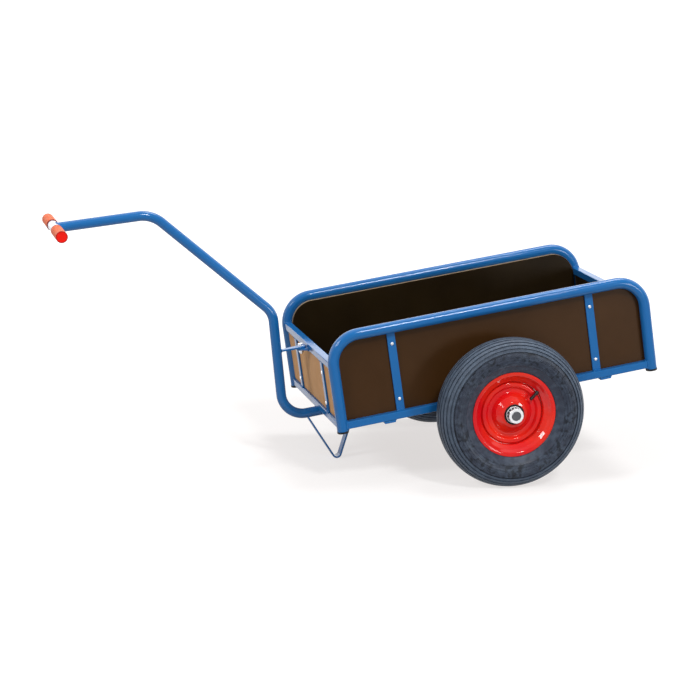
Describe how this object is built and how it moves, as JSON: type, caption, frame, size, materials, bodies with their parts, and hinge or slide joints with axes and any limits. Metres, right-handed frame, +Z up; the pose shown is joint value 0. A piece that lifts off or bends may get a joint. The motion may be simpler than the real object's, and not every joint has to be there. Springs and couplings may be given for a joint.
{
  "type": "two-wheeled hand cart",
  "caption": "Hand cart with a tube-framed plywood load box on pneumatic wheels, a bent drawbar with a T-handle and a V-shaped park stand.",
  "frame": {"origin": "on the floor, under the middle of the cart's overall length and width as it stands parked", "axes": "+Z up from the floor, +X forward towards the handle, +Y to the cart's left along the axle"},
  "size_m": [1.6122, 0.832, 0.6944],
  "materials": {
    "blue_enamel": "gloss",
    "filmed_plywood": "smooth phenolic film",
    "black_plastic": "matt",
    "red_enamel": "gloss",
    "tyre_rubber": "matt",
    "grip_plastic": "satin",
    "zinc": "zinc plated",
    "plain_steel": "turned"
  },
  "bodies": {
    "cart": {"axle": "plain_steel", "drawbar": "blue_enamel", "drawbar_stay": "blue_enamel", "floor_board": "filmed_plywood", "front_bottom_rail": "blue_enamel", "front_cross_member": "blue_enamel", "front_end_panel": "filmed_plywood", "front_left_end_strap": "blue_enamel", "front_right_end_strap": "blue_enamel", "front_top_rail": "blue_enamel", "handle_bar": "blue_enamel", "left_axle_collar": "zinc", "left_axle_saddle": "blue_enamel", "left_axle_spacer": "zinc", "left_axle_washer": "zinc", "left_bottom_rail": "blue_enamel", "left_front_post_cap": "black_plastic", "left_front_strap": "blue_enamel", "left_grip": "grip_plastic", "left_rear_post_cap": "black_plastic", "left_rear_strap": "blue_enamel", "left_side_frame": "blue_enamel", "left_side_panel": "filmed_plywood", "park_stand": "blue_enamel", "rear_bottom_rail": "blue_enamel", "rear_cross_member": "blue_enamel", "rear_end_panel": "filmed_plywood", "rear_left_end_strap": "blue_enamel", "rear_right_end_strap": "blue_enamel", "rear_top_rail": "blue_enamel", "right_axle_collar": "zinc", "right_axle_saddle": "blue_enamel", "right_axle_spacer": "zinc", "right_axle_washer": "zinc", "right_bottom_rail": "blue_enamel", "right_front_post_cap": "black_plastic", "right_front_strap": "blue_enamel", "right_grip": "grip_plastic", "right_rear_post_cap": "black_plastic", "right_rear_strap": "blue_enamel", "right_side_frame": "blue_enamel", "right_side_panel": "filmed_plywood", "stay_bolt": "zinc", "stay_lug": "blue_enamel"},
    "left_wheel": {"left_hub": "black_plastic", "left_rim": "red_enamel", "left_tyre": "tyre_rubber", "left_valve": "black_plastic", "left_wheel_disc": "red_enamel"},
    "right_wheel": {"right_hub": "black_plastic", "right_rim": "red_enamel", "right_tyre": "tyre_rubber", "right_valve": "black_plastic", "right_wheel_disc": "red_enamel"}
  },
  "joints": [
    {"name": "left_wheel_spin", "type": "hinge", "parent": "cart", "child": "left_wheel", "pos_m": [-0.36585, 0.3635, 0.2], "axis": [0, 1, 0], "continuous": true},
    {"name": "right_wheel_spin", "type": "hinge", "parent": "cart", "child": "right_wheel", "pos_m": [-0.36585, -0.3635, 0.2], "axis": [0, 1, 0], "continuous": true}
  ]
}
